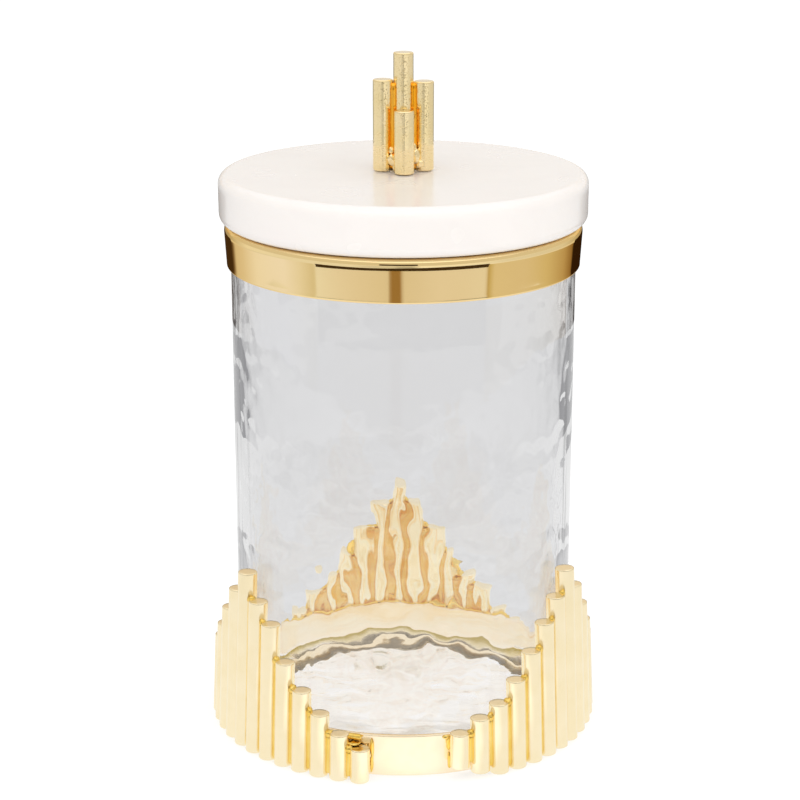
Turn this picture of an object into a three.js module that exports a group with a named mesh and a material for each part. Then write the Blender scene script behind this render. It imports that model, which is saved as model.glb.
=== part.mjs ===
// A tall glass jar with a marble lid: 45 brass rods of stepped lengths stand round its foot in three
// peaks, and five more make the finial on the lid. Millimetres, +Z up. The jar stands on z = 0 with its
// axis on Z, and the middle of one of the three bare gaps between the rods faces -Y.
import * as THREE from "three";

// Driving dimensions.
const GAP = 0.3; // clearance that touching pieces keep
const JAR_RADIUS = 53;
const JAR_WALL = 3;
const JAR_FLOOR = 4.5;
const JAR_HEEL = 2.5; // radius of the outer foot edge
const JAR_HEIGHT = 159.8;

const COLLAR_BOTTOM = 147.9;
const COLLAR_TOP = 161;
const COLLAR_RADIUS = { bottom: 54.3, top: 54.9 };
const COLLAR_EDGE = 1.1; // radius of its rounded top edge

const LID_RADIUS = 56.5;
const LID_TOP = 176.1;
const LID_EDGE = { bottom: 3, top: 2.2 };
const PLUG = { radius: 47.5, depth: 8, chamfer: 1 };
const GROOVE = { radius: 46, low: 2.7, high: 5.7 }; // gasket groove, heights above the plug's bottom
const STUD_RADIUS = 1.9;
const NUT = { acrossFlats: 7, height: 3 };
const WASHER = { radius: 7, thickness: 1 };
const NUT_POCKET = { radius: 8.5, depth: 5 };

const FINIAL_RADIUS = 2.95;
const FINIAL_PITCH = 6.2;
const FINIAL_HEIGHTS = { center: 36.1, left: 28, right: 27.4, front: 19.5, back: 19.5 };
const STUD_IN_FINIAL = 10;

const BAND = { bottom: 0.5, top: 13.5, inner: 53.4, outerBottom: 55.3, outerTop: 54.9 };

const ROD_RADIUS = 3;
const ROD_CIRCLE = 59; // radius of the circle of rod axes at the floor
const ROD_LEAN = THREE.MathUtils.degToRad(2.6);
const ROD_EDGE = 0.45;
const RODS_PER_GROUP = 15;
const GROUP_SPREAD = THREE.MathUtils.degToRad(90);

// Rod lengths up one flank of a peak, shortest first. The two flanks beside the front gap were cut by
// hand a little apart from the other four, and the shortest rods on the right stand slightly raised.
const PEAK_LENGTH = 57;
const FLANK = [11, 15, 20.5, 26.5, 33, 41, 49.5];
const FRONT_LEFT_FLANK = [10.5, 14.5, 20, 26, 33.5, 44, 49.5];
const FRONT_RIGHT_FLANK = [11, 17.5, 22.5, 28.5, 36, 43.5, 50];
const FRONT_RIGHT_LIFTS = [4, 1.5];

const ROUND_SEGMENTS = 72;
const ROD_SEGMENTS = 12;

const gold = new THREE.MeshStandardMaterial({ color: 0xd9bf86, roughness: 0.3, metalness: 1 });
const goldCollar = new THREE.MeshStandardMaterial({ color: 0xd6b273, roughness: 0.12, metalness: 1 });
const glass = new THREE.MeshStandardMaterial({
  color: 0xe6ebea,
  roughness: 0.03,
  metalness: 0,
  transparent: true,
  opacity: 0.3,
});
const marble = new THREE.MeshStandardMaterial({ color: 0xf7f5f1, roughness: 0.25, metalness: 0 });
const silicone = new THREE.MeshStandardMaterial({ color: 0xe9ebea, roughness: 0.5, metalness: 0 });
const steel = new THREE.MeshStandardMaterial({ color: 0xb4b6b8, roughness: 0.3, metalness: 1 });

// Points on a round edge about (r, z), by angles in degrees counter-clockwise from straight outward.
function arc(r, z, radius, from, to, steps) {
  const points = [];
  for (let i = 0; i <= steps; i += 1) {
    const angle = THREE.MathUtils.degToRad(from + ((to - from) * i) / steps);
    points.push([r + radius * Math.cos(angle), z + radius * Math.sin(angle)]);
  }
  return points;
}

// A body turned about Z. The outline of [r, z] points runs up the outside: it starts and ends on the
// axis, or it closes on itself.
function turned(name, outline, material, segments = ROUND_SEGMENTS) {
  const points = outline.map(([r, z]) => new THREE.Vector2(r, z));
  const geometry = new THREE.LatheGeometry(points, segments);
  geometry.rotateX(Math.PI / 2);
  const mesh = new THREE.Mesh(geometry, material);
  mesh.name = name;
  return mesh;
}

function closed(outline) {
  return [...outline, outline[0]];
}

function glassJar() {
  const inner = JAR_RADIUS - JAR_WALL;
  const rim = JAR_WALL / 2;
  const floorEdge = 3;
  return turned(
    "glass_jar",
    [
      [0, 0],
      ...arc(JAR_RADIUS - JAR_HEEL, JAR_HEEL, JAR_HEEL, -90, 0, 3),
      ...arc(inner + rim, JAR_HEIGHT - rim, rim, 0, 180, 4),
      ...arc(inner - floorEdge, JAR_FLOOR + floorEdge, floorEdge, 0, -90, 3),
      [0, JAR_FLOOR],
    ],
    glass,
  );
}

// The collar is a sleeve over the glass with a flat lip turned in over the rim.
function collar() {
  const inner = JAR_RADIUS + GAP;
  const lipInner = JAR_RADIUS - JAR_WALL + GAP / 2;
  const bottomEdge = 0.5;
  return turned(
    "collar",
    closed([
      [inner, COLLAR_BOTTOM],
      [COLLAR_RADIUS.bottom - bottomEdge, COLLAR_BOTTOM],
      [COLLAR_RADIUS.bottom, COLLAR_BOTTOM + bottomEdge],
      ...arc(COLLAR_RADIUS.top - COLLAR_EDGE, COLLAR_TOP - COLLAR_EDGE, COLLAR_EDGE, 0, 90, 3),
      [lipInner, COLLAR_TOP],
      [lipInner, JAR_HEIGHT + GAP],
      [inner, JAR_HEIGHT + GAP],
    ]),
    goldCollar,
  );
}

function baseBand() {
  return turned(
    "base_band",
    closed([
      [BAND.inner, BAND.bottom],
      [BAND.outerBottom, BAND.bottom],
      [BAND.outerTop, BAND.top],
      [BAND.inner, BAND.top],
    ]),
    gold,
  );
}

// A straight round bar standing on z = 0 in its own frame, its end edges eased. A blind hole up its
// middle, where there is one, opens at the bottom.
function rod(name, radius, length, segments, hole = null) {
  const edge = ROD_EDGE;
  const start = hole
    ? [
        [0, hole.depth],
        [hole.radius, hole.depth],
        [hole.radius, 0],
      ]
    : [[0, 0]];
  return turned(
    name,
    [
      ...start,
      [radius - edge, 0],
      [radius, edge],
      [radius, length - edge],
      [radius - edge, length],
      [0, length],
    ],
    gold,
    segments,
  );
}

// One group of base rods, centred on the angle from -Y counter-clockwise seen from above.
function rodGroup(side, centerAngle, firstFlank, lastFlank, firstLifts = []) {
  const group = new THREE.Group();
  const lengths = [...firstFlank, PEAK_LENGTH, ...lastFlank.toReversed()];
  const pitch = GROUP_SPREAD / (RODS_PER_GROUP - 1);
  lengths.forEach((length, i) => {
    const number = String(i + 1).padStart(2, "0");
    const bar = rod(`base_rod_${side}_${number}`, ROD_RADIUS, length, ROD_SEGMENTS);
    const lift = firstLifts[i] ?? 0;
    const inward = lift * Math.tan(ROD_LEAN);
    bar.position.set(0, inward - ROD_CIRCLE, lift + ROD_RADIUS * Math.sin(ROD_LEAN));
    bar.rotation.x = -ROD_LEAN;
    const spoke = new THREE.Group();
    spoke.rotation.z = centerAngle + (i - (RODS_PER_GROUP - 1) / 2) * pitch;
    spoke.add(bar);
    group.add(spoke);
  });
  return group;
}

const LID_BOTTOM = COLLAR_TOP + GAP;
const PLUG_BOTTOM = LID_BOTTOM - PLUG.depth;
const POCKET_TOP = PLUG_BOTTOM + NUT_POCKET.depth;
const FINIAL_BOTTOM = LID_TOP + GAP;

// The marble disc with the plug below it that drops into the mouth. The plug has a gasket groove, and
// a pocket for the nut under the hole for the stud.
function lidMarble() {
  const hole = STUD_RADIUS + 0.5;
  return turned(
    "lid_marble",
    closed([
      [hole, POCKET_TOP],
      [NUT_POCKET.radius, POCKET_TOP],
      [NUT_POCKET.radius, PLUG_BOTTOM],
      [PLUG.radius - PLUG.chamfer, PLUG_BOTTOM],
      [PLUG.radius, PLUG_BOTTOM + PLUG.chamfer],
      [PLUG.radius, PLUG_BOTTOM + GROOVE.low],
      [GROOVE.radius, PLUG_BOTTOM + GROOVE.low],
      [GROOVE.radius, PLUG_BOTTOM + GROOVE.high],
      [PLUG.radius, PLUG_BOTTOM + GROOVE.high],
      [PLUG.radius, LID_BOTTOM],
      ...arc(LID_RADIUS - LID_EDGE.bottom, LID_BOTTOM + LID_EDGE.bottom, LID_EDGE.bottom, -90, 0, 4),
      ...arc(LID_RADIUS - LID_EDGE.top, LID_TOP - LID_EDGE.top, LID_EDGE.top, 0, 90, 4),
      [hole, LID_TOP],
    ]),
    marble,
  );
}

function lidGasket() {
  const inner = GROOVE.radius + GAP;
  const outer = JAR_RADIUS - JAR_WALL - GAP - 0.1;
  const low = PLUG_BOTTOM + GROOVE.low + GAP;
  const high = PLUG_BOTTOM + GROOVE.high - GAP;
  return turned(
    "lid_gasket",
    closed([
      [inner, low],
      [outer, low],
      [outer, high],
      [inner, high],
    ]),
    silicone,
  );
}

// The threaded stud, the washer and the hexagon nut that hold the finial down on the marble.
function fastening() {
  const washerTop = POCKET_TOP - GAP;
  const washerBottom = washerTop - WASHER.thickness;
  const nutTop = washerBottom - GAP;
  const hole = STUD_RADIUS + GAP;

  const stud = turned(
    "lid_stud",
    [
      [0, PLUG_BOTTOM + GAP],
      [STUD_RADIUS, PLUG_BOTTOM + GAP],
      [STUD_RADIUS, FINIAL_BOTTOM + STUD_IN_FINIAL],
      [0, FINIAL_BOTTOM + STUD_IN_FINIAL],
    ],
    steel,
    24,
  );

  const washer = turned(
    "lid_washer",
    closed([
      [hole, washerBottom],
      [WASHER.radius, washerBottom],
      [WASHER.radius, washerTop],
      [hole, washerTop],
    ]),
    steel,
    32,
  );

  const outline = new THREE.Shape();
  const corner = NUT.acrossFlats / Math.sqrt(3);
  for (let i = 0; i < 6; i += 1) {
    const angle = (i * Math.PI) / 3;
    outline[i === 0 ? "moveTo" : "lineTo"](corner * Math.cos(angle), corner * Math.sin(angle));
  }
  outline.closePath();
  outline.holes.push(new THREE.Path().absarc(0, 0, hole, 0, 2 * Math.PI, true));
  const hexagon = new THREE.ExtrudeGeometry(outline, {
    depth: NUT.height,
    bevelEnabled: false,
    curveSegments: 24,
  });
  const nut = new THREE.Mesh(hexagon, steel);
  nut.name = "lid_nut";
  nut.position.z = nutTop - NUT.height;
  return [stud, washer, nut];
}

// Five bars in a plus: the tallest in the middle, screwed onto the stud.
function finial() {
  const places = {
    center: [0, 0],
    left: [-FINIAL_PITCH, 0],
    right: [FINIAL_PITCH, 0],
    front: [0, -FINIAL_PITCH],
    back: [0, FINIAL_PITCH],
  };
  const tapped = { radius: STUD_RADIUS + GAP, depth: STUD_IN_FINIAL + 1 };
  return Object.entries(places).map(([place, [x, y]]) => {
    const hole = place === "center" ? tapped : null;
    const bar = rod(`finial_rod_${place}`, FINIAL_RADIUS, FINIAL_HEIGHTS[place] - GAP, 24, hole);
    bar.position.set(x, y, FINIAL_BOTTOM);
    return bar;
  });
}

const groupAngle = THREE.MathUtils.degToRad(60);
const jar = new THREE.Group();
jar.add(glassJar(), collar(), baseBand());
jar.add(rodGroup("left", -groupAngle, FLANK, FRONT_LEFT_FLANK));
jar.add(rodGroup("right", groupAngle, FRONT_RIGHT_FLANK, FLANK, FRONT_RIGHT_LIFTS));
jar.add(rodGroup("back", Math.PI, FLANK, FLANK));

const lid = new THREE.Group();
lid.add(lidMarble(), lidGasket(), ...fastening(), ...finial());

const canister = new THREE.Group();
canister.add(jar, lid);

export default canister;
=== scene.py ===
"""A tall glass jar with a marble lid and a skirt of gold rods: its looks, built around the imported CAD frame.

Every piece takes its place and size from the CAD node that it stands for. Units are metres. The jar's
axis is Z, and the middle of the front gap between the rods faces -Y.
"""

import math

import bpy
import numpy as np
from mathutils import Matrix, Vector, noise


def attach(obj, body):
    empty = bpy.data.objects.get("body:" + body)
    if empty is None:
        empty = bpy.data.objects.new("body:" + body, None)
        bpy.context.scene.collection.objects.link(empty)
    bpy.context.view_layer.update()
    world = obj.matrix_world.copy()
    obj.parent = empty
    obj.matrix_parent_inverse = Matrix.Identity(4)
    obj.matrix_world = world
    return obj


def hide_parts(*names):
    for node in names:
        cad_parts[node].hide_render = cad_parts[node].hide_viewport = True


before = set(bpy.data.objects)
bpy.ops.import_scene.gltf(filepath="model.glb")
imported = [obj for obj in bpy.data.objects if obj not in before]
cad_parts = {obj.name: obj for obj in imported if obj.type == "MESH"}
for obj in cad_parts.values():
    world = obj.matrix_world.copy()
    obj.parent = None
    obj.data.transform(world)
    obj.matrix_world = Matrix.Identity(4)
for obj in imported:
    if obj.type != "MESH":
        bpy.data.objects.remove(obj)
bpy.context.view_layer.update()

MM = 0.001

CAMERA_DISTANCE = 654.1 * MM
CAMERA_HEIGHT = 301.3 * MM
CAMERA_AZIMUTH = math.radians(2.1)  # left of the front gap
CAMERA_PITCH = math.radians(16.86)
CAMERA_PAN = math.radians(0.09)  # the jar stands a little right of the frame's middle
CAMERA_LENS = 97.8

FLOOR_RADIUS = 0.3
FLOOR_LEVEL = -0.2 * MM
COLLAR_CARD_DISTANCE = 0.45
END_CARD_DISTANCE = 0.46  # just behind the collar's own card
LINE_CARD_DISTANCE = 0.42
FINIAL_CARD_DISTANCE = 0.43
FACES_CARD_DISTANCE = 1.0
LEFT_END, RIGHT_END = (-180, -139), (132, 180)  # azimuths of the collar's dark ends
LEFT_BROWN, RIGHT_BROWN, STRIPE_BROWN = (0.06, 0.036, 0.016), (0.03, 0.015, 0.006), (0.33, 0.2, 0.07)
LOWEST_SINE = -0.5  # of the elevations that the studio's light is set for

# Heights of the waves in the glass. Those on its floor are several times as high, and combed as well.
RIPPLE = {"fine": 0.035 * MM, "broad": 0.13 * MM, "combed": 0.09 * MM, "floor_times": 3}

SIDES = ("left", "right", "back")
RODS_PER_GROUP = 15
BASE_ROD = {"radius": 3 * MM, "edge": 0.35 * MM}
OUTER_SEAM = {"depth": -0.3, "radius": 1.05 * MM}  # depth: millimetres inward from the rods' middles
INNER_SEAM = {"depth": 1.6, "radius": 1.4 * MM}
SEAM_INSET = {"low": 1 * MM, "high": 0.8 * MM}
BAND_JOINT = {"reach": 56 * MM, "height": 13 * MM, "radius": 1.0 * MM}
BEAD_SIZE = (1.15, 1.15, 1.4)
FINE_LUMP = {"rows": 12, "columns": 20}

# Lumps of solder beside the front gap: degrees right of -Y, then millimetres from the axis, height and
# half-widths.
GAP_LUMPS = (
    (-17.4, 56.6, 11.2, (2.2, 1.5, 0.5)),
    (-20.0, 56.4, 12.4, (1.3, 1.0, 0.5)),
    (-11.9, 55.4, 9.5, (0.6, 0.4, 3.0)),
    (-12.0, 55.4, 4.5, (0.5, 0.4, 3.0)),
    (12.4, 55.4, 10.5, (0.8, 0.5, 2.2)),
    (11.6, 55.2, 12.6, (1.0, 0.5, 0.7)),
    (12.6, 55.4, 5.0, (0.5, 0.4, 2.6)),
)

FASTENER_EDGE = 0.2 * MM
FINIAL_PLACES = ("center", "left", "right", "front", "back")
FINIAL_ROD = {"radius": 3.08 * MM, "edge": 0.5 * MM}
FINIAL_SEAM_FOOT = 0.4  # millimetres above the marble

# Across, forward, length and radius of the seams in one quarter of the finial, in millimetres.
FINIAL_SEAMS = ((3.1, 1.3, 26.4, 1.1), (1.5, 3.1, 18, 1.05))

# Lumps of solder at the finial's foot, in millimetres from the foot of its centre rod: place, half-widths.
FINIAL_LUMPS = (
    ((-3.4, -3.2, 3.6), (1.5, 1.3, 1.9)),
    ((-2.2, -3.4, 1.6), (1.3, 1.1, 1.6)),
    ((-3.6, -2.2, 6.2), (0.9, 0.8, 1.2)),
    ((3.5, -3.1, 4.6), (1.6, 1.2, 2.4)),
    ((4.8, -2.6, 2.4), (1.5, 1.1, 1.4)),
    ((3.1, -3.3, 7.4), (0.8, 0.8, 1.4)),
    ((3.3, 3.3, 3.2), (1.4, 1.4, 2.2)),
    ((-3.3, 3.3, 3.2), (1.4, 1.4, 2.2)),
)


# --- Reading the CAD frame ---------------------------------------------------------------------------


def points_of(node):
    return np.array([v.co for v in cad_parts[node].data.vertices], float)


def ring_of(node, above=-1.0):
    """Inner radius, outer radius, lowest and highest point of a turned CAD node, above a height."""
    points = points_of(node)
    points = points[points[:, 2] > above]
    radii = np.hypot(points[:, 0], points[:, 1])
    return radii.min(), radii.max(), points[:, 2].min(), points[:, 2].max()


def bar_of(node):
    """Start point, unit direction and length of a straight round CAD bar."""
    points = points_of(node)
    heights = points[:, 2]
    middle = (heights.min() + heights.max()) / 2
    low, high = points[heights < middle].mean(0), points[heights >= middle].mean(0)
    direction = (high - low) / np.linalg.norm(high - low)
    along = (points - low) @ direction
    start = low + direction * along.min()
    return Vector(start), Vector(direction), float(np.ptp(along))


# --- Mesh helpers ------------------------------------------------------------------------------------


def add_object(name, vertices, faces, material, body, smooth=True):
    mesh = bpy.data.meshes.new(name)
    mesh.from_pydata([tuple(v) for v in vertices], [], faces)
    mesh.update()
    if smooth:
        mesh.shade_smooth()
    mesh.materials.append(material)
    piece = bpy.data.objects.new(name, mesh)
    bpy.context.scene.collection.objects.link(piece)
    if body:
        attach(piece, body)
    return piece


def arc(radius_at, height_at, radius, start, end, steps):
    """Points on a round edge about (radius_at, height_at), angles in degrees from straight outward."""
    angles = [math.radians(start + (end - start) * i / steps) for i in range(steps + 1)]
    return [(radius_at + radius * math.cos(a), height_at + radius * math.sin(a)) for a in angles]


def line(start, end, steps):
    """Evenly spaced points from start to end, without the last."""
    return [tuple(np.array(start) + (np.array(end) - start) * i / steps) for i in range(steps)]


def revolve(outline, segments, closed=False, shift=None):
    """Vertices and faces of (radius, height) points turned about Z. A point on the axis is a pole.

    shift(point, radius, height) moves each point, by a vector that it returns.
    """
    vertices, rings, faces = [], [], []
    turns = [2 * math.pi * i / segments for i in range(segments)]
    for radius, height in outline:
        on_axis = radius < 1e-7
        first = len(vertices)
        for turn in turns[:1] if on_axis else turns:
            point = Vector((radius * math.sin(turn), -radius * math.cos(turn), height))
            if shift:
                point += shift(point, radius, height)
            vertices.append(point)
        rings.append([first] * segments if on_axis else list(range(first, first + segments)))
    pairs = list(zip(rings, rings[1:]))
    if closed:
        pairs.append((rings[-1], rings[0]))
    for lower, upper in pairs:
        for i in range(segments):
            j = (i + 1) % segments
            corners = [lower[i], lower[j], upper[j], upper[i]]
            faces.append(list(dict.fromkeys(corners)))
    return vertices, faces


def placed(vertices, start, direction):
    """Vertices made about the Z axis from z = 0, moved so that they start at a point and run along."""
    turn = Vector((0, 0, 1)).rotation_difference(direction).to_matrix().to_4x4()
    place = Matrix.Translation(start) @ turn
    return [place @ Vector(v) for v in vertices]


def waves(point, size, seed):
    """Smooth noise from about -1 to 1 with features of a given size."""
    return noise.noise(Vector(point) / size + Vector((seed * 7.3, seed * 3.1, seed * 5.7)))


def outward_at(point):
    """The unit direction from the jar's axis to a point."""
    return Vector((point.x, point.y, 0)).normalized()


# --- Material helpers --------------------------------------------------------------------------------


def new_material(name):
    material = bpy.data.materials.new(name)
    material.use_nodes = True
    return material, material.node_tree, material.node_tree.nodes["Principled BSDF"]


def axes(tree, space="Object"):
    """The x, y and z of a point in the object's own coordinates, or of a direction in the world's."""
    coordinates = tree.nodes.new("ShaderNodeTexCoord")
    split = tree.nodes.new("ShaderNodeSeparateXYZ")
    tree.links.new(coordinates.outputs[space], split.inputs["Vector"])
    return [split.outputs[axis] for axis in "XYZ"]


def pattern(tree, scale, detail=3.0, stretch=(1, 1, 1), distortion=0.0):
    """A noise texture in the object's own coordinates, stretched along some axes."""
    coordinates = tree.nodes.new("ShaderNodeTexCoord")
    mapping = tree.nodes.new("ShaderNodeMapping")
    mapping.inputs["Scale"].default_value = stretch
    texture = tree.nodes.new("ShaderNodeTexNoise")
    texture.inputs["Scale"].default_value = scale
    texture.inputs["Detail"].default_value = detail
    texture.inputs["Distortion"].default_value = distortion
    tree.links.new(coordinates.outputs["Object"], mapping.inputs["Vector"])
    tree.links.new(mapping.outputs["Vector"], texture.inputs["Vector"])
    return texture.outputs["Fac"]


def ramp(tree, source, stops):
    """Colours at positions along a source, as (position, (r, g, b))."""
    node = tree.nodes.new("ShaderNodeValToRGB")
    elements = node.color_ramp.elements
    while len(elements) < len(stops):
        elements.new(0.5)
    while len(elements) > len(stops):
        elements.remove(elements[-1])
    for element, (position, colour) in zip(elements, stops):
        element.position = position
        element.color = (*colour, 1)
    tree.links.new(source, node.inputs["Fac"])
    return node.outputs["Color"]


def ranged(tree, source, low, high, source_low=0.3, source_high=0.7):
    """A source spread over a new range."""
    node = tree.nodes.new("ShaderNodeMapRange")
    node.inputs["From Min"].default_value = source_low
    node.inputs["From Max"].default_value = source_high
    node.inputs["To Min"].default_value = low
    node.inputs["To Max"].default_value = high
    tree.links.new(source, node.inputs["Value"])
    return node.outputs["Result"]


def bump(tree, shader, height, distance, below=None):
    """Raises the shader's surface by a height, on top of the bump below it where there is one."""
    node = tree.nodes.new("ShaderNodeBump")
    node.inputs["Distance"].default_value = distance
    tree.links.new(height, node.inputs["Height"])
    if below:
        tree.links.new(below, node.inputs["Normal"])
    tree.links.new(node.outputs["Normal"], shader.inputs["Normal"])
    return node.outputs["Normal"]


def calculate(tree, operation, *values):
    """A math node. A value is a number or another node's output."""
    node = tree.nodes.new("ShaderNodeMath")
    node.operation = operation
    for socket, value in zip(node.inputs, values):
        if isinstance(value, (int, float)):
            socket.default_value = value
        else:
            tree.links.new(value, socket)
    return node.outputs["Value"]


def grey(level):
    return (level, level, level)


def grey_ramp(tree, source, stops):
    return ramp(tree, source, [(position, grey(level)) for position, level in stops])


def blend(tree, factor, one, two, how="MIX"):
    """Colour one turning into colour two, or multiplied by it, as the factor goes from 0 to 1."""
    node = tree.nodes.new("ShaderNodeMix")
    node.data_type, node.blend_type = "RGBA", how
    first_colour, second_colour, result = node.inputs[6], node.inputs[7], node.outputs[2]
    for socket, value in ((node.inputs["Factor"], factor), (first_colour, one), (second_colour, two)):
        tree.links.new(value, socket)
    return result


def distance_of(tree, x, y):
    """How far a point at x and y is from the origin."""
    squares = (calculate(tree, "MULTIPLY", v, v) for v in (x, y))
    return calculate(tree, "SQRT", calculate(tree, "ADD", *squares))


# --- Materials ---------------------------------------------------------------------------------------


def gold(name, deep, pale, roughness, streak_depth, speck_depth=0.0):
    """Gold plate over drawn brass: fine lines along Z, cloudy colour and specks in the plating."""
    material, tree, shader = new_material(name)
    shader.inputs["Metallic"].default_value = 1.0
    clouds = pattern(tree, 140, 2.0)
    lines = pattern(tree, 1500, 2.0, stretch=(1, 1, 0.03))
    tree.links.new(ramp(tree, clouds, [(0.35, deep), (0.65, pale)]), shader.inputs["Base Color"])
    tree.links.new(
        ranged(tree, pattern(tree, 160, 2.0, stretch=(1, 1, 0.35)), *roughness),
        shader.inputs["Roughness"],
    )
    normal = bump(tree, shader, lines, streak_depth)
    if speck_depth:
        specks = ranged(tree, pattern(tree, 1700, 2.0), 0, 1, 0.55, 0.75)
        bump(tree, shader, specks, speck_depth, below=normal)
    return material


def collar_gold():
    """Polished plate, with the slow waviness of rolled sheet in its reflections."""
    material, tree, shader = new_material("collar_gold")
    shader.inputs["Metallic"].default_value = 1.0
    clouds = pattern(tree, 60, 2.0)
    stops = [(0.3, (0.975, 0.76, 0.39)), (0.7, (0.99, 0.78, 0.41))]
    tree.links.new(ramp(tree, clouds, stops), shader.inputs["Base Color"])
    tree.links.new(ranged(tree, pattern(tree, 300, 4.0), 0.03, 0.05), shader.inputs["Roughness"])
    shader.inputs["Specular Tint"].default_value = (0.95, 0.72, 0.42, 1)
    bump(tree, shader, pattern(tree, 70, 1.0, stretch=(1, 1, 0.5)), 0.00008)
    return material


def clear_glass():
    """Clear glass that darkens over a long way through it. Dark streaks are painted into its colour where it
    is seen edge on, most near the top: painted dark reflections along its edges.
    """
    material, tree, shader = new_material("jar_glass")
    _, _, z = axes(tree)
    facing = tree.nodes.new("ShaderNodeLayerWeight")
    edge_on = ranged(tree, facing.outputs["Facing"], 0, 1, 0.6, 0.78)
    long_dark_streaks = ranged(tree, pattern(tree, 420, 2.0, stretch=(1, 1, 0.03)), 0, 0.75, 0.56, 0.62)
    dark_marks_near_top = ranged(tree, pattern(tree, 500, 3.0, stretch=(1, 1, 0.22)), 0, 1, 0.46, 0.54)
    near_top = ranged(tree, z, 0, 1, 112 * MM, 136 * MM)
    # Painted dark reflections: long dark streaks, with marks near the top, darken the glass's colour where it
    # is seen edge on.
    lines = calculate(tree, "MAXIMUM", long_dark_streaks, calculate(tree, "MULTIPLY", dark_marks_near_top, near_top))
    lines = calculate(tree, "MULTIPLY", lines, edge_on)
    stops = [(0, (0.985, 0.985, 0.99)), (1, (0.1, 0.1, 0.105))]
    tree.links.new(ramp(tree, lines, stops), shader.inputs["Base Color"])
    shader.inputs["Transmission Weight"].default_value = 1.0
    shader.inputs["IOR"].default_value = 1.5
    tree.links.new(ranged(tree, pattern(tree, 900, 2.0), 0.0, 0.02, 0.6, 0.8), shader.inputs["Roughness"])
    absorb = tree.nodes.new("ShaderNodeVolumeAbsorption")
    absorb.inputs["Color"].default_value = (0.25, 0.25, 0.27, 1)
    absorb.inputs["Density"].default_value = 4.0
    output = tree.nodes["Material Output"]
    tree.links.new(absorb.outputs["Volume"], output.inputs["Volume"])
    bump(tree, shader, pattern(tree, 300, 1.0), 0.00001)
    return material


def white_marble():
    """Nearly pure white marble with faint warm and cool clouds and a honed, softly glossy face."""
    material, tree, shader = new_material("lid_marble")
    clouds = pattern(tree, 24, 5.0, distortion=1.4)
    stops = [
        (0.3, (0.9, 0.852, 0.818)),
        (0.5, (0.92, 0.875, 0.84)),
        (0.7, (0.91, 0.86, 0.828)),
    ]
    tree.links.new(ramp(tree, clouds, stops), shader.inputs["Base Color"])
    tree.links.new(ranged(tree, pattern(tree, 60, 2.0), 0.24, 0.28), shader.inputs["Roughness"])
    shader.inputs["Subsurface Weight"].default_value = 0.08
    shader.inputs["Subsurface Radius"].default_value = (1.0, 0.9, 0.8)
    shader.inputs["Subsurface Scale"].default_value = 0.002
    shader.inputs["Coat Weight"].default_value = 0.35
    shader.inputs["Coat Roughness"].default_value = 0.12
    return material


def milky_silicone():
    material, tree, shader = new_material("gasket_silicone")
    stops = [(0.3, (0.8, 0.82, 0.82)), (0.7, (0.9, 0.91, 0.9))]
    tree.links.new(ramp(tree, pattern(tree, 200, 2.0), stops), shader.inputs["Base Color"])
    tree.links.new(ranged(tree, pattern(tree, 900, 3.0), 0.35, 0.5), shader.inputs["Roughness"])
    shader.inputs["Transmission Weight"].default_value = 0.35
    shader.inputs["IOR"].default_value = 1.41
    return material


def bright_steel():
    material, tree, shader = new_material("fastener_steel")
    shader.inputs["Metallic"].default_value = 1.0
    stops = [(0.3, (0.55, 0.56, 0.57)), (0.7, (0.68, 0.69, 0.7))]
    tree.links.new(ramp(tree, pattern(tree, 300, 3.0), stops), shader.inputs["Base Color"])
    tree.links.new(ranged(tree, pattern(tree, 1200, 3.0), 0.22, 0.4), shader.inputs["Roughness"])
    bump(tree, shader, pattern(tree, 2500, 2.0), 0.00001)
    return material


# The base rods and band get a paler, whiter gold than the finial: a painted whitish sheen of the light on
# them.
ROD_GOLD = gold("rod_gold", (0.98, 0.84, 0.55), (1.0, 0.87, 0.6), (0.16, 0.2), 0.000003)
FINIAL_GOLD = gold(
    "finial_gold", (0.96, 0.78, 0.43), (1.0, 0.82, 0.49), (0.05, 0.09), 0.000008, 0.00004
)
BAND_GOLD = gold("base_gold", (1.0, 0.83, 0.58), (1.0, 0.86, 0.63), (0.18, 0.24), 0.000003)
# Solder gold: the solder's own colour on beads, lumps and joints; on the seams that fill the rod grooves its
# deep colour is also painted shade of light bouncing there.
SOLDER_AND_GROOVE_SHADE_GOLD = gold("gold_solder_and_groove_shade", (0.9, 0.6, 0.12), (0.96, 0.7, 0.22), (0.12, 0.22), 0.000002)
# Deep amber of the finial's seams: solder, with its deep orange partly painted shade of light bouncing in the
# grooves.
AMBER_SOLDER_AND_SHADE_GOLD = gold("amber_solder_and_groove_shade", (1.0, 0.42, 0.02), (1.0, 0.52, 0.07), (0.1, 0.18), 0.000004)
# Darker gold of the inner seams: solder, with its darker colour painted shade in the inner grooves.
INNER_SOLDER_AND_SHADE_GOLD = gold("inner_solder_and_shade_gold", (0.8, 0.47, 0.12), (0.9, 0.6, 0.22), (0.12, 0.2), 0.000004)
COLLAR_GOLD = collar_gold()
GLASS = clear_glass()
MARBLE = white_marble()
SILICONE = milky_silicone()
STEEL = bright_steel()


# --- The jar -----------------------------------------------------------------------------------------


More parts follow.
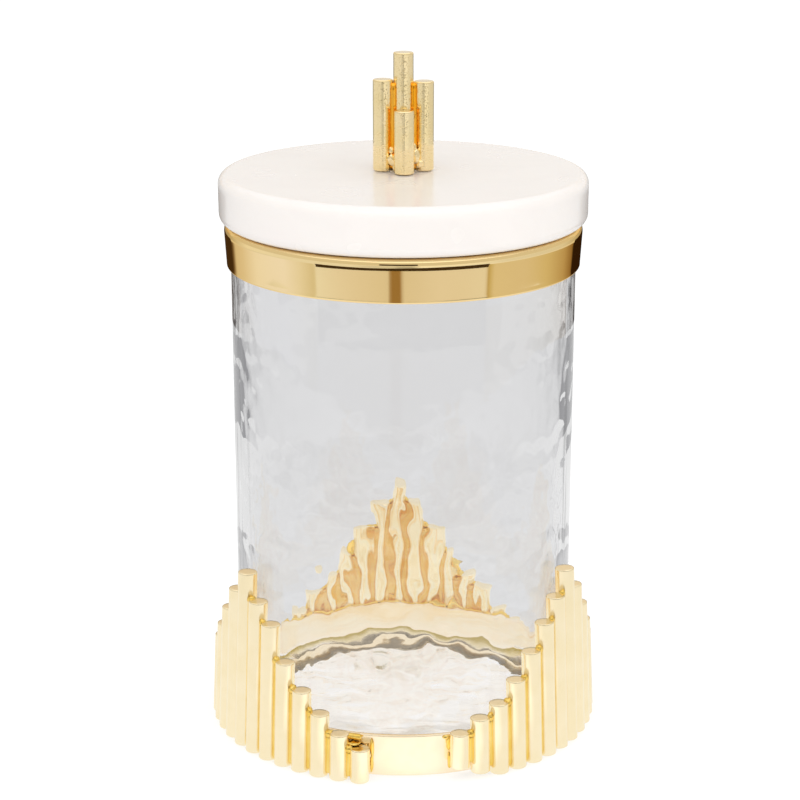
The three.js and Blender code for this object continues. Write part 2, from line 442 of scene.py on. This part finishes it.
def make_glass():
    """Smooth outside, hammered inside: the inner wall and the floor are rippled by hand work."""
    _, outer, low, high = ring_of("glass_jar")
    inner, _, _, _ = ring_of("glass_jar", above=high / 2)
    points = points_of("glass_jar")
    on_axis = points[np.hypot(points[:, 0], points[:, 1]) < 0.0001]
    floor = on_axis[:, 2].max()
    heel, rim, corner = 2.5 * MM, (outer - inner) / 2, 3 * MM
    punt, punt_edge, punt_inset = 0.5 * MM, 0.6 * MM, 7 * MM  # the hollow under the foot
    smooth = 3 * MM  # the height at each end of the jar that has no ripple

    def ripple(point, radius, height):
        if height < low + smooth or radius > (inner + outer) / 2 or height > high - smooth:
            return Vector((0, 0, 0))
        fine = waves(Vector((point.x, point.y, point.z / 2.5)), 2.2 * MM, 1)
        depth = RIPPLE["fine"] * fine + RIPPLE["broad"] * waves(point, 6 * MM, 2)
        if height > floor + corner:
            return outward_at(point) * -depth
        combed = waves(Vector((point.x / 3, point.y, 0)), 1.6 * MM, 6)
        fade = min(1, radius / (10 * MM))
        return Vector((0, 0, (RIPPLE["floor_times"] * depth + RIPPLE["combed"] * combed) * fade))

    outline = [(0, low + punt)]
    outline += line((8 * MM, low + punt), (outer - 9 * MM, low + punt), 6)
    outline += arc(outer - punt_inset, low + punt_edge, punt_edge, 180, 270, 3)
    outline += arc(outer - heel, low + heel, heel, -90, 0, 8)
    outline += line((outer, low + 6 * MM), (outer, high - 4 * MM), 12)
    outline += arc(inner + rim, high - rim, rim, 0, 180, 10)
    outline += line((inner, high - smooth), (inner, floor + corner), 125)
    outline += arc(inner - corner, floor + corner, corner, 0, -90, 8)
    outline += line((inner - corner - 1 * MM, floor), (1 * MM, floor), 36)
    outline += [(0, floor)]
    vertices, faces = revolve(outline, 420, shift=ripple)
    jar = add_object("glass_jar_hammered", vertices, faces, GLASS, "jar")
    for ray in ("diffuse", "glossy", "shadow"):
        setattr(jar, "visible_" + ray, False)
    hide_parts("glass_jar")


def make_collar():
    """A rolled sleeve with a rounded shoulder that turns in over the rim of the glass."""
    lip, outer, low, high = ring_of("collar")
    points = points_of("collar")
    radii = np.hypot(points[:, 0], points[:, 1])
    at_bottom = radii[points[:, 2] < low + 0.1 * MM]
    inner = at_bottom.min()
    bottom_outer = at_bottom.max() + 0.5 * MM  # the CAD sleeve has a bevel of 0.5 mm there
    slow, shoulder, edge, lip_thickness = 6 * MM, 1.7 * MM, 0.4 * MM, 0.8 * MM
    bend_degrees = 12
    bend = math.radians(bend_degrees)
    start = high - shoulder - (slow - shoulder) * math.sin(bend)
    turn_in = outer - slow + (slow - shoulder) * math.cos(bend)
    outline = [(inner, low + 0.2 * MM)]
    outline += arc(bottom_outer - edge, low + edge, edge, -110, 0, 6)
    outline += line((bottom_outer, low + 0.7 * MM), (outer, start), 10)
    outline += arc(outer - slow, start, slow, 0, bend_degrees, 8)
    outline += arc(turn_in, high - shoulder, shoulder, 18, 90, 12)
    outline += line((turn_in - 0.4 * MM, high), (lip, high), 3)
    outline += arc(lip + lip_thickness / 2, high - lip_thickness / 2, lip_thickness / 2, 90, 270, 6)
    outline += [(inner, high - lip_thickness - 0.05 * MM)]
    vertices, faces = revolve(outline, 288, closed=True)
    collar = add_object("collar_polished", vertices, faces, COLLAR_GOLD, "jar")
    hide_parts("collar")


def make_band():
    """A flat strip rolled round the foot, its outside a little uneven."""
    inner, outer, low, high = ring_of("base_band")
    top_outer = outer - 0.4 * MM
    edge = 0.35 * MM
    outline = [(inner, high - edge), (inner, low + edge)]
    outline += arc(inner + edge, low + edge, edge, 190, 270, 3)
    outline += arc(outer - edge, low + edge, edge, -90, 0, 5)
    outline += line((outer, low + 1 * MM), (top_outer, high - edge), 6)
    outline += arc(top_outer - edge, high - edge, edge, 0, 90, 5)
    outline += arc(inner + edge, high - edge, edge, 90, 170, 3)

    def uneven(point, radius, height):
        if radius <= inner + edge:
            return Vector((0, 0, 0))
        return outward_at(point) * (0.12 * MM * waves(point, 14 * MM, 5))

    vertices, faces = revolve(outline, 288, closed=True, shift=uneven)
    band = add_object("base_band_strip", vertices, faces, BAND_GOLD, "jar")
    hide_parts("base_band")


def bar_mesh(length, radius, edge, segments=40):
    """A round bar along Z from z = 0 with eased ends, in short steps."""
    outline = [(0, 0), (radius * 0.5, 0)]
    outline += arc(radius - edge, edge, edge, -90, 0, 4)
    straight = ((radius, edge + 0.2 * MM), (radius, length - edge - 0.2 * MM))
    outline += line(*straight, max(4, int(length / (2.5 * MM)))) + [straight[1]]
    outline += arc(radius - edge, length - edge, edge, 0, 90, 5)
    outline += [(radius * 0.5, length), (0, length)]
    return revolve(outline, segments)


def make_rod(node, radius, edge, material, slot, body):
    """A bar in a CAD bar's place, with the slight waviness of hand-cut stock."""
    start, direction, length = bar_of(node)
    vertices, faces = bar_mesh(length, radius, edge)
    vertices = placed(vertices, start, direction)
    wobble = 0.03 * MM
    for v in vertices:
        away = v - start
        outward = away - direction * away.dot(direction)
        if outward.length > radius * 0.8:
            v += outward.normalized() * wobble * (waves(v, 6 * MM, 9) - 0.5)
    rod = add_object(node + "_bar", vertices, faces, material, body)
    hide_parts(node)


def blob(center, size, seed, rows=7, columns=12):
    """A lump of solder: a squashed ball with an uneven skin. size holds its three half-widths."""
    vertices, faces = revolve(arc(0, 0, 1, -90, 90, rows), columns)
    lump = []
    for v in vertices:
        swell = 1 + 0.35 * waves(v, 0.8, seed)
        lump.append(Vector(center) + Vector((v.x * size[0], v.y * size[1], v.z * size[2])) * swell)
    return lump, faces


def join(parts):
    """The vertices and faces of several meshes as one."""
    vertices, faces = [], []
    for part_vertices, part_faces in parts:
        first = len(vertices)
        vertices += part_vertices
        faces += [[first + i for i in face] for face in part_faces]
    return vertices, faces


def seam(start, end, radius):
    """A thin fillet of solder that fills the groove between two rods."""
    direction = (end - start).normalized()
    length = (end - start).length
    outline = [(0, 0)]
    outline += arc(0, radius, radius, -90, 0, 3)
    outline += line((radius, 2 * radius), (radius, length - radius), max(3, int(length / (1.5 * MM))))
    outline += arc(0, length - radius, radius, 0, 90, 3)
    vertices, faces = revolve(outline, 8)
    vertices = placed(vertices, start, direction)
    return [v + Vector((waves(v, 3 * MM, 3), waves(v, 3 * MM, 4), 0)) * 0.12 * MM for v in vertices], faces


def base_rods(side):
    return [f"base_rod_{side}_{i + 1:02d}" for i in range(RODS_PER_GROUP)]


def groove_of(one, two):
    """The low and high ends of the line midway between two neighbouring bars, short of both their ends."""
    low = max(start.z for start, _, _ in (one, two))
    high = min((start + direction * length).z for start, direction, length in (one, two))

    def midway(z):
        level = [start + direction * ((z - start.z) / direction.z) for start, direction, _ in (one, two)]
        return sum(level, Vector()) / 2

    return midway(low + SEAM_INSET["low"]), midway(high - SEAM_INSET["high"])


def band_joint(one, two):
    """The solder along the top of the band, from one bar to the next."""
    feet = [Vector((s.x, s.y, 0)) * (BAND_JOINT["reach"] / math.hypot(s.x, s.y)) for s, _, _ in (one, two)]
    return seam(*(foot + Vector((0, 0, BAND_JOINT["height"])) for foot in feet), BAND_JOINT["radius"])


def make_solder():
    """The seams between neighbouring rods, a bead at the top of each, and the band's solder joints. The seams'
    deep gold outside and darker gold inside are partly the solder's own colour and partly painted shade, the
    saturated gold of light bouncing in the grooves.
    """
    parts, inner_seams = [], []
    for side_number, side in enumerate(SIDES):
        bars = [bar_of(node) for node in base_rods(side)]
        for i, (one, two) in enumerate(zip(bars, bars[1:])):
            groove = groove_of(one, two)
            inward = [Vector((-point.x, -point.y, 0)).normalized() * MM for point in groove]
            for seams, kind in ((parts, OUTER_SEAM), (inner_seams, INNER_SEAM)):
                ends = (point + way * kind["depth"] for point, way in zip(groove, inward))
                # The seams fill the grooves between rods; their deeper gold is partly painted groove shade.
                seams.append(seam(*ends, kind["radius"]))
            size = [s * (0.85 + 0.35 * noise.random()) * MM for s in BEAD_SIZE]
            bead = groove[1] - inward[1] * 0.5 + Vector((0, 0, 0.3 * MM))
            parts.append(blob(bead, size, side_number * 20 + i))
            parts.append(band_joint(one, two))
    for seed, (azimuth, reach, height, size) in enumerate(GAP_LUMPS):
        turn = math.radians(azimuth)
        place = Vector((math.sin(turn) * reach, -math.cos(turn) * reach, height)) * MM
        parts.append(blob(place, [s * MM for s in size], seed + 60, **FINE_LUMP))
    for name, pieces, material in (
        ("base_solder_and_groove_shade", parts, SOLDER_AND_GROOVE_SHADE_GOLD),
        ("base_inner_seams_and_groove_shade", inner_seams, INNER_SOLDER_AND_SHADE_GOLD),
    ):
        solder = add_object(name, *join(pieces), material, "jar")


def make_base():
    for side in SIDES:
        for node in base_rods(side):
            make_rod(node, **BASE_ROD, material=ROD_GOLD, slot="rod_gold", body="jar")


# --- The lid -----------------------------------------------------------------------------------------


def make_lid():
    """The honed marble disc, its plug, the gasket groove and the pocket for the nut."""
    points = points_of("lid_marble")
    hole, outer, low, top = ring_of("lid_marble")
    disc = points[np.hypot(points[:, 0], points[:, 1]) > outer - 4 * MM]
    under = disc[:, 2].min()
    plug = outer - 9 * MM
    groove, groove_low, groove_high = plug - 1.5 * MM, low + 2.7 * MM, low + 5.7 * MM
    pocket, pocket_top = 8.5 * MM, low + 5 * MM
    fillet, crown, step, chamfer, bevel = 3.0 * MM, 3.0 * MM, 0.5 * MM, 1 * MM, 0.05 * MM
    outline = line((hole, pocket_top), (pocket - step, pocket_top), 3)
    outline += arc(pocket - step, pocket_top - step, step, 90, 0, 3)
    outline += arc(pocket + step, low + step, step, 180, 270, 3)
    outline += line((pocket + 2 * MM, low), (plug - 1.5 * MM, low), 8)
    outline += arc(plug - chamfer, low + chamfer, chamfer, -90, 0, 5)
    outline += [(plug, groove_low), (groove, groove_low + bevel), (groove, groove_high - bevel)]
    outline += [(plug, groove_high), (plug, under - 0.3 * MM), (plug + 0.4 * MM, under)]
    outline += line((plug + 2 * MM, under), (outer - fillet, under), 4)
    outline += arc(outer - fillet, under + fillet, fillet, -90, 0, 10)
    outline += line((outer, under + fillet + 0.5 * MM), (outer, top - crown), 8)
    outline += arc(outer - crown, top - crown, crown, 0, 90, 10)
    outline += line((outer - crown - 1 * MM, top), (hole, top), 24)
    outline += [(hole, top)]

    def uneven(point, radius, height):
        if radius < outer - 8 * MM:
            return Vector((0, 0, 0))
        return outward_at(point) * (0.1 * MM * (waves(point, 16 * MM, 12) - 0.6))

    vertices, faces = revolve(outline, 288, closed=True, shift=uneven)
    lid = add_object("lid_marble_disc", vertices, faces, MARBLE, "lid")
    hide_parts("lid_marble")


def make_gasket():
    """A soft ring with two rounded lips."""
    inner, outer, low, high = ring_of("lid_gasket")
    lip = (high - low) / 4
    outline = [(inner, high), (inner, low)]
    outline += line((inner + 0.8 * MM, low), (outer - lip, low), 3)
    outline += arc(outer - lip, low + lip, lip, -90, 80, 6)
    outline += arc(outer - lip, high - lip, lip, -80, 90, 6)
    outline += line((outer - lip - 0.5 * MM, high), (inner + 0.5 * MM, high), 3)
    vertices, faces = revolve(outline, 192, closed=True)
    ring = add_object("lid_gasket_ring", vertices, faces, SILICONE, "lid")
    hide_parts("lid_gasket")


def pull_in(point, reach, radius):
    """Moves a point at one distance from the axis to another."""
    point.x *= radius / reach
    point.y *= radius / reach


def make_stud():
    """The stud with its rolled thread."""
    _, radius, low, high = ring_of("lid_stud")
    pitch, depth, columns, rows_per_turn = 0.7 * MM, 0.22 * MM, 24, 6
    rows = int((high - low) / pitch * rows_per_turn)
    vertices, faces = revolve([(0, low)] + line((radius, low), (radius, high), rows) + [(0, high)], columns)
    for v in vertices:
        reach = math.hypot(v.x, v.y)
        if reach > radius / 2 and low + pitch < v.z < high - pitch:
            phase = (v.z / pitch - math.atan2(v.y, v.x) / (2 * math.pi)) % 1
            cut = depth * (1 - abs(2 * phase - 1))
            pull_in(v, reach, radius - cut)
    stud = add_object("lid_stud_threaded", vertices, faces, STEEL, "lid")
    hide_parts("lid_stud")


def make_washer():
    inner, outer, low, high = ring_of("lid_washer")
    edge = FASTENER_EDGE
    outline = [(inner, high - edge), (inner, low + edge), (inner + edge, low)]
    outline += arc(outer - edge, low + edge, edge, -90, 0, 3)
    outline += arc(outer - edge, high - edge, edge, 0, 90, 3)
    outline += [(inner + edge, high)]
    vertices, faces = revolve(outline, 64, closed=True)
    washer = add_object("lid_washer_round", vertices, faces, STEEL, "lid")
    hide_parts("lid_washer")


def make_nut():
    """A chamfered hexagon nut: a turned ring with six flats cut on it."""
    inner, corner, low, high = ring_of("lid_nut")
    edge, chamfer = FASTENER_EDGE, 0.5 * MM
    flat = corner * math.cos(math.pi / 6)
    outline = [(inner, high - edge), (inner, low + edge), (inner + 2 * edge, low)]
    outline += [(flat, low), (corner, low + chamfer)]
    outline += line((corner, low + 2 * chamfer), (corner, high - chamfer), 2)
    outline += [(corner, high - chamfer), (flat, high), (inner + 2 * edge, high)]
    vertices, faces = revolve(outline, 96, closed=True)
    for v in vertices:
        reach = math.hypot(v.x, v.y)
        turn = math.atan2(v.y, v.x) % (math.pi / 3) - math.pi / 6
        limit = flat / math.cos(turn)
        if reach > limit:
            pull_in(v, reach, limit)
    nut = add_object("lid_nut_hexagon", vertices, faces, STEEL, "lid")
    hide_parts("lid_nut")


def make_finial():
    """Five rods in a plus, the solder lumped at their foot and the seams in the grooves between them. The
    seams' deep amber is partly solder and partly painted shade of light bouncing in the grooves.
    """
    for place in FINIAL_PLACES:
        make_rod(f"finial_rod_{place}", **FINIAL_ROD, material=FINIAL_GOLD, slot="finial_gold", body="lid")
    center, _, _ = bar_of("finial_rod_center")

    parts = []
    for seed, (place, size) in enumerate(FINIAL_LUMPS):
        lump = blob(center + Vector(place) * MM, [s * MM for s in size], seed + 90, **FINE_LUMP)
        parts.append(lump)
    solder = add_object("finial_solder", *join(parts), FINIAL_GOLD, "lid")

    parts = []
    for across, forward, length, radius in FINIAL_SEAMS:
        for y in (-forward, forward):
            for x in (-across, across):
                foot = center + Vector((x, y, FINIAL_SEAM_FOOT)) * MM
                # Seams in the finial's grooves, coloured with painted groove shade.
                parts.append(seam(foot, foot + Vector((0, 0, length * MM)), radius * MM))
    seams = add_object("finial_seams_and_groove_shade", *join(parts), AMBER_SOLDER_AND_SHADE_GOLD, "lid")


# --- Floor, light and camera -------------------------------------------------------------------------


def ring_stops(*stops):
    """Ramp stops for the floor, from distances from the jar's axis in millimetres."""
    return [(radius * MM / FLOOR_RADIUS, colour) for radius, colour in stops]


def painted_light_oval(tree, x, y, squeeze, forward, near, far):
    """A painted pool of light: a bright oval on the table in front of the jar, squeezed across."""
    across = calculate(tree, "MULTIPLY", x, squeeze)
    ahead = calculate(tree, "ADD", y, forward * MM)
    return ranged(tree, distance_of(tree, across, ahead), 1.25, 0.97, near * MM, far * MM)


def floor_in_metal(tree, x, y, reach):
    """The floor in reflections, with painted light: amber patches under the jar as a painted reflection of the
    gold, white patches as painted highlights, and a painted glow on the table round it, brightest near the
    jar.
    """
    painted_reflection_patches = ramp(
        tree, pattern(tree, 150, 1.0), [(0.45, (0.8, 0.55, 0.2)), (0.52, (1.15, 1.25, 1.28))]
    )
    stops = ring_stops((36, (0.95, 0.98, 1.0)), (56, grey(1.0)), (240, grey(0.95)), (300, grey(0.8)))
    table = ramp(tree, calculate(tree, "DIVIDE", reach, FLOOR_RADIUS), stops)
    inside = ranged(tree, reach, 1, 0, 25 * MM, 36 * MM)
    # Painted pools of light in front of the jar, multiplied into the floor's glow.
    wide = painted_light_oval(tree, x, y, squeeze=0.5, forward=97, near=10, far=28)
    close = painted_light_oval(tree, x, y, squeeze=1.0, forward=75, near=12, far=24)
    shone = tree.nodes.new("ShaderNodeVectorMath")
    shone.operation = "SCALE"
    tree.links.new(blend(tree, inside, table, painted_reflection_patches), shone.inputs[0])
    tree.links.new(calculate(tree, "MAXIMUM", wide, close), shone.inputs["Scale"])
    return shone.outputs["Vector"]


def floor_through_glass(tree, y, reach):
    """The floor behind glass, with painted light and shade: painted brighter under the jar, painted olive
    shade of the gold below the rods, a calm grey beyond them, and painted rippled shade near the front.
    """
    # Painted shade tinted by the gold rods, below them.
    olive_rod_shade = (0.5, 0.37, 0.1)
    stops = ring_stops(
        (46, (1.0, 0.96, 0.9)), (49, (0.78, 0.66, 0.38)), (52, olive_rod_shade), (61, olive_rod_shade), (64, grey(0.78))
    )
    through = ramp(tree, calculate(tree, "DIVIDE", reach, FLOOR_RADIUS), stops)
    # Painted rippled shade, strongest near the front.
    front_ripple_shade = ramp(
        tree,
        pattern(tree, 260, 3.0, stretch=(0.25, 1, 1), distortion=0.6),
        [(0.44, (0.52, 0.5, 0.46)), (0.6, grey(1.0))],
    )
    near_front = ranged(tree, y, 0.1, 1, -15 * MM, -38 * MM)
    return blend(tree, near_front, through, front_ripple_shade, how="MULTIPLY")


def studio_floor():
    """A floor that is plain white to the camera, with a faint contact shadow, and glows for other rays. That
    glow carries painted light: painted reflections and pools of light in metal, and painted light and shade
    seen through the glass.
    """
    material, tree, shader = new_material("studio_floor")
    tree.links.new(
        grey_ramp(tree, pattern(tree, 4, 2.0), [(0.3, 0.46), (0.7, 0.5)]), shader.inputs["Base Color"]
    )
    shader.inputs["Roughness"].default_value = 0.9
    shader.inputs["Specular IOR Level"].default_value = 0.0
    shader.inputs["Emission Color"].default_value = (0.62, 0.62, 0.62, 1)
    shader.inputs["Emission Strength"].default_value = 1.0
    x, y, _ = axes(tree)
    reach = distance_of(tree, x, y)
    path = tree.nodes.new("ShaderNodeLightPath")
    emission = tree.nodes.new("ShaderNodeEmission")
    glow = blend(
        tree,
        path.outputs["Is Transmission Ray"],
        floor_in_metal(tree, x, y, reach),
        floor_through_glass(tree, y, reach),
    )
    tree.links.new(glow, emission.inputs["Color"])
    mix = tree.nodes.new("ShaderNodeMixShader")
    tree.links.new(path.outputs["Is Camera Ray"], mix.inputs["Fac"])
    tree.links.new(emission.outputs["Emission"], mix.inputs[1])
    tree.links.new(shader.outputs["BSDF"], mix.inputs[2])
    tree.links.new(mix.outputs["Shader"], tree.nodes["Material Output"].inputs["Surface"])
    return material


def make_floor():
    outline = [(radius, FLOOR_LEVEL) for radius in (FLOOR_RADIUS, 0.1, 0.05, 0)]
    vertices, faces = revolve(outline, 64)
    floor = add_object("studio_floor", vertices, faces, studio_floor(), None)


def card_paint(name, azimuths, stops):
    """Glowing colours along a card's azimuths. Light that has been through glass finds it plain grey."""
    first, last = azimuths
    material = bpy.data.materials.new(name)
    material.use_nodes = True
    tree = material.node_tree
    tree.nodes.clear()
    x, y, _ = axes(tree)
    turn = calculate(tree, "ARCTAN2", x, calculate(tree, "MULTIPLY", y, -1.0))
    along = ranged(tree, turn, 0, 1, math.radians(first), math.radians(last))
    placed_stops = [((azimuth - first) / (last - first), colour) for azimuth, colour in stops]
    from_glass = tree.nodes.new("ShaderNodeLightPath").outputs["Transmission Depth"]
    plain = ramp(tree, along, [(0, (0.84, 0.84, 0.85))])
    emission = tree.nodes.new("ShaderNodeEmission")
    tree.links.new(
        blend(tree, from_glass, ramp(tree, along, placed_stops), plain), emission.inputs["Color"]
    )
    output = tree.nodes.new("ShaderNodeOutputMaterial")
    tree.links.new(emission.outputs["Emission"], output.inputs["Surface"])
    return material


def card(name, distance, azimuths, low, high, stops):
    """An upright studio card curved round the jar, seen only in reflections.

    Azimuths are in degrees right of -Y. The stops are colours along them, as (azimuth, (r, g, b)). low
    and high are heights as functions of the azimuth.
    """
    first, last = azimuths
    steps = max(2, round(last - first))
    vertices = []
    for i in range(steps + 1):
        azimuth = first + (last - first) * i / steps
        x, y = math.sin(math.radians(azimuth)) * distance, -math.cos(math.radians(azimuth)) * distance
        vertices += [(x, y, low(azimuth)), (x, y, high(azimuth))]
    faces = [[2 * i, 2 * i + 2, 2 * i + 3, 2 * i + 1] for i in range(steps)]
    sheet = add_object(name, vertices, faces, card_paint(name, azimuths, stops), None, smooth=False)
    for ray in ("camera", "diffuse", "transmission", "volume_scatter", "shadow"):
        setattr(sheet, "visible_" + ray, False)


def level_edge(height):
    """A card's edge at one height all along."""
    return lambda azimuth: height


def plain_card(name, distance, azimuths, low, high, colour):
    """A card of one colour between two heights."""
    card(name, distance, azimuths, level_edge(low), level_edge(high), [(azimuths[0], colour)])


def make_collar_card():
    """The band of colours that the polished collar shows between its dark ends."""

    def rise(azimuth):
        return min(1, abs(azimuth) / 90)

    card(
        "low_cards",
        COLLAR_CARD_DISTANCE,
        (-180, 180),
        lambda azimuth: -0.03 + 0.044 * rise(azimuth),
        lambda azimuth: 0.045 + 0.01 * rise(azimuth),
        [
            (-141, LEFT_BROWN),
            (-138, (0.2, 0.15, 0.1)),
            (-133, (0.7, 0.69, 0.7)),
            (-122, (0.74, 0.71, 0.68)),
            (-105, (0.86, 0.86, 0.92)),
            (-80, (0.87, 0.87, 0.98)),
            (-68, (0.79, 0.77, 0.74)),
            (-58, (0.68, 0.63, 0.5)),
            (-56, (0.82, 0.83, 0.85)),
            (-40, (0.78, 0.75, 0.73)),
            (-14, (0.73, 0.68, 0.61)),
            (-11, (0.71, 0.66, 0.58)),
            (-9.5, STRIPE_BROWN),
            (-3.8, STRIPE_BROWN),
            (-2.3, (0.72, 0.67, 0.6)),
            (20, (0.77, 0.73, 0.7)),
            (49, (0.78, 0.76, 0.74)),
            (50, (0.5, 0.38, 0.18)),
            (52, (0.6, 0.5, 0.27)),
            (55, (0.71, 0.63, 0.47)),
            (78, (0.7, 0.62, 0.48)),
            (97, (0.65, 0.56, 0.35)),
            (118, (0.5, 0.39, 0.22)),
            (130, (0.3, 0.2, 0.09)),
            (132, RIGHT_BROWN),
        ],
    )


def make_end_cards():
    """The dark ends of the collar and the paler cards above them, and the tone of its shoulder."""
    for name, azimuths, low, high, colour in (
        ("left_end", LEFT_END, 0.03, 0.17, LEFT_BROWN),
        ("left_tops", LEFT_END, 0.17, 0.235, (0.74, 0.62, 0.48)),
        ("right_end", RIGHT_END, 0.03, 0.17, RIGHT_BROWN),
        ("right_tops", RIGHT_END, 0.17, 0.235, (0.86, 0.76, 0.64)),
    ):
        plain_card(name, END_CARD_DISTANCE, azimuths, low, high, colour)
    plain_card("shoulder_card", COLLAR_CARD_DISTANCE, (-135, 130), 0.172, 0.5, (0.7, 0.66, 0.58))


def make_line_card():
    """The thin dark line above the collar's colours, which swells once on the way round."""
    span = (-56, 50)
    card(
        "dark_line",
        LINE_CARD_DISTANCE,
        span,
        level_edge(0.032),
        lambda azimuth: 0.075 + 0.03 * max(0, math.cos(math.radians(azimuth - 22) * 2)),
        [(span[0], (0.05, 0.03, 0.01))],
    )


def make_finial_cards():
    """The shades down the finial's rods, and the dark chips that their bumps pick up."""
    warmth = 0.98  # share of blue in the greys
    levels = [
        (-178, 0.3),
        (-140, 0.5),
        (-112, 0.85),
        (-60, 0.8),
        (-32, 0.82),
        (-22, 0.68),
        (-8, 0.66),
        (-4, 0.5),
        (3, 0.5),
        (8, 0.95),
        (40, 0.9),
        (60, 0.76),
        (112, 0.72),
        (140, 0.5),
        (178, 0.3),
    ]
    card(
        "finial_cards",
        FINIAL_CARD_DISTANCE,
        (-180, 180),
        level_edge(0.09),
        level_edge(0.165),
        [(azimuth, (level, level, level * warmth)) for azimuth, level in levels],
    )
    plain_card("finial_chip", FINIAL_CARD_DISTANCE, (-16, 6), 0.18, 0.25, (0.06, 0.04, 0.02))


def make_cards():
    """Cards round the jar for its polished metal and its rods' end faces to reflect."""
    make_collar_card()
    make_end_cards()
    make_line_card()
    plain_card("end_faces_card", FACES_CARD_DISTANCE, (140, 220), 0.41, 0.6, (0.8, 0.7, 0.56))
    make_finial_cards()


def make_world():
    """White to the camera, and to everything else a studio.

    Levels are set against height, the sine of the elevation, from LOWEST_SINE to 1.
    """
    world = bpy.data.worlds.new("studio")
    bpy.context.scene.world = world
    world.use_nodes = True
    tree = world.node_tree
    tree.nodes.clear()
    x, y, z = axes(tree, "Generated")
    height = ranged(tree, z, 0, 1, LOWEST_SINE, 1.0)

    def at(sine):
        return (sine - LOWEST_SINE) / (1 - LOWEST_SINE)

    stops = [(-0.4, 0.95), (-0.2, 0.8), (0.04, 0.85), (0.12, 1.0), (0.4, 1.3), (1.0, 1.08)]
    front = grey_ramp(tree, height, [(at(sine), level) for sine, level in stops])
    stops = [(-0.4, 0.76), (0.0, 0.78), (0.3, 0.83), (1.0, 1.08)]
    back = grey_ramp(tree, height, [(at(sine), level) for sine, level in stops])
    side = ranged(tree, y, 0, 1, -0.25, 0.25)
    lit = tree.nodes.new("ShaderNodeBackground")
    tree.links.new(blend(tree, side, front, back), lit.inputs["Color"])
    lean = calculate(
        tree, "MULTIPLY", ranged(tree, x, 0.97, 1.03, -1, 1), ranged(tree, y, 1.22, 1, -1, -0.4)
    )
    tree.links.new(lean, lit.inputs["Strength"])
    white = tree.nodes.new("ShaderNodeBackground")
    white.inputs["Color"].default_value = (1, 1, 1, 1)
    white.inputs["Strength"].default_value = 1.1
    path = tree.nodes.new("ShaderNodeLightPath")
    mix = tree.nodes.new("ShaderNodeMixShader")
    output = tree.nodes.new("ShaderNodeOutputWorld")
    tree.links.new(path.outputs["Is Camera Ray"], mix.inputs["Fac"])
    tree.links.new(lit.outputs["Background"], mix.inputs[1])
    tree.links.new(white.outputs["Background"], mix.inputs[2])
    tree.links.new(mix.outputs["Shader"], output.inputs["Surface"])


def make_camera():
    data = bpy.data.cameras.new("camera")
    data.lens = CAMERA_LENS
    data.clip_start = 0.01
    camera = bpy.data.objects.new("camera", data)
    camera.location = (
        -CAMERA_DISTANCE * math.sin(CAMERA_AZIMUTH),
        -CAMERA_DISTANCE * math.cos(CAMERA_AZIMUTH),
        CAMERA_HEIGHT,
    )
    camera.rotation_euler = (math.pi / 2 - CAMERA_PITCH, 0, CAMERA_PAN - CAMERA_AZIMUTH)
    bpy.context.scene.collection.objects.link(camera)
    bpy.context.scene.camera = camera


noise.seed_set(7)
make_camera()
make_world()
make_floor()
make_cards()
make_glass()
make_collar()
make_band()
make_base()
make_solder()
make_lid()
make_gasket()
make_stud()
make_washer()
make_nut()
make_finial()

bpy.context.scene.view_settings.view_transform = "Standard"
